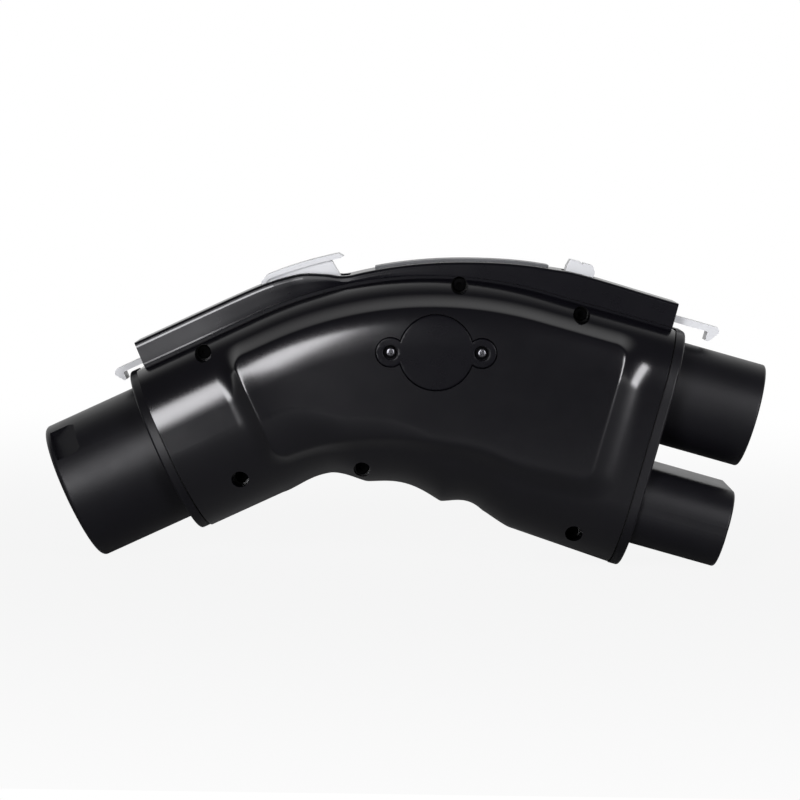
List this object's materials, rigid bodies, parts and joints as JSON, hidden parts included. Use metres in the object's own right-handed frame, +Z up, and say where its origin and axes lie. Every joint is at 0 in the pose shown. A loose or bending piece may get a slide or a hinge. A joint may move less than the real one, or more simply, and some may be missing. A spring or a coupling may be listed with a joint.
{
  "type": "electric vehicle charging adapter",
  "caption": "Bent black handheld charging adapter with a round shrouded end, a combined two-barrel end, a screwed service cap and white latch levers under a top cover.",
  "frame": {"origin": "on the floor under the middle of the bounding box, as the adapter rests", "axes": "+Z up, +X from the round end to the combined end, +Y away from the side with the service cap"},
  "size_m": [0.3002, 0.081, 0.1278],
  "materials": {
    "shell_plastic": "glossy black",
    "cover_plastic": "satin black",
    "barrel_plastic": "fine-textured charcoal",
    "carrier_plastic": "matte black",
    "inlay_grey": "satin grey",
    "latch_plastic": "near-white satin",
    "seal_rubber": "soft matte",
    "contact_metal": "silver-plated",
    "bar_metal": "bare copper alloy",
    "screw_black": "blackened",
    "screw_steel": "bright zinc",
    "axle_steel": "ground",
    "spring_steel": "spring wire",
    "board_green": "solder mask",
    "part_black": "moulded",
    "header_ivory": "moulded",
    "cell_can": "sleeved can",
    "lead_orange": "insulation",
    "strap_green": "insulation"
  },
  "bodies": {
    "housing": {"near_shell": "shell_plastic", "far_shell": "shell_plastic", "latch_cover": "cover_plastic", "cover_inlay": "inlay_grey", "service_cap": "cover_plastic", "service_cap_seal": "seal_rubber", "service_cap_screws": "screw_steel", "housing_screws": "screw_black", "round_end_barrel": "barrel_plastic", "round_end_gasket": "seal_rubber", "round_end_insert": "carrier_plastic", "dc_pins": "contact_metal", "earth_pin": "contact_metal", "auxiliary_pins": "contact_metal", "signal_pins": "contact_metal", "combo_end_head": "barrel_plastic", "combo_end_gasket": "seal_rubber", "combo_upper_insert": "carrier_plastic", "combo_lower_insert": "carrier_plastic", "dc_sockets": "contact_metal", "earth_socket": "contact_metal", "pilot_sockets": "contact_metal", "round_latch_pin": "axle_steel", "combo_latch_pin": "axle_steel", "round_latch_spring": "spring_steel", "combo_latch_spring": "spring_steel", "positive_busbar": "bar_metal", "negative_busbar": "bar_metal", "control_board": "board_green", "board_headers": "header_ivory", "board_components": "part_black", "service_port": "part_black", "backup_cell": "cell_can", "cell_holder": "part_black", "earth_strap": "strap_green", "signal_leads": "lead_orange", "pilot_leads": "lead_orange", "latch_sensor": "part_black", "sensor_leads": "lead_orange", "cell_leads": "lead_orange"},
    "round_lever": {"round_latch": "latch_plastic"},
    "combo_lever": {"combo_latch": "latch_plastic"}
  },
  "joints": [
    {"name": "round_latch_press", "type": "hinge", "parent": "housing", "child": "round_lever", "pos_m": [-0.07834, 0, 0.09821], "axis": [0, 1, 0], "range_deg": [0, 4], "stiffness_Nm_per_rad": 1, "springref_deg": -17.19, "deforming": ["round_latch_spring"]},
    {"name": "combo_latch_press", "type": "hinge", "parent": "housing", "child": "combo_lever", "pos_m": [0.09953, 0, 0.10614], "axis": [0, -1, 0], "range_deg": [0, 6.5], "stiffness_Nm_per_rad": 1, "springref_deg": -17.19, "deforming": ["combo_latch_spring"]}
  ]
}
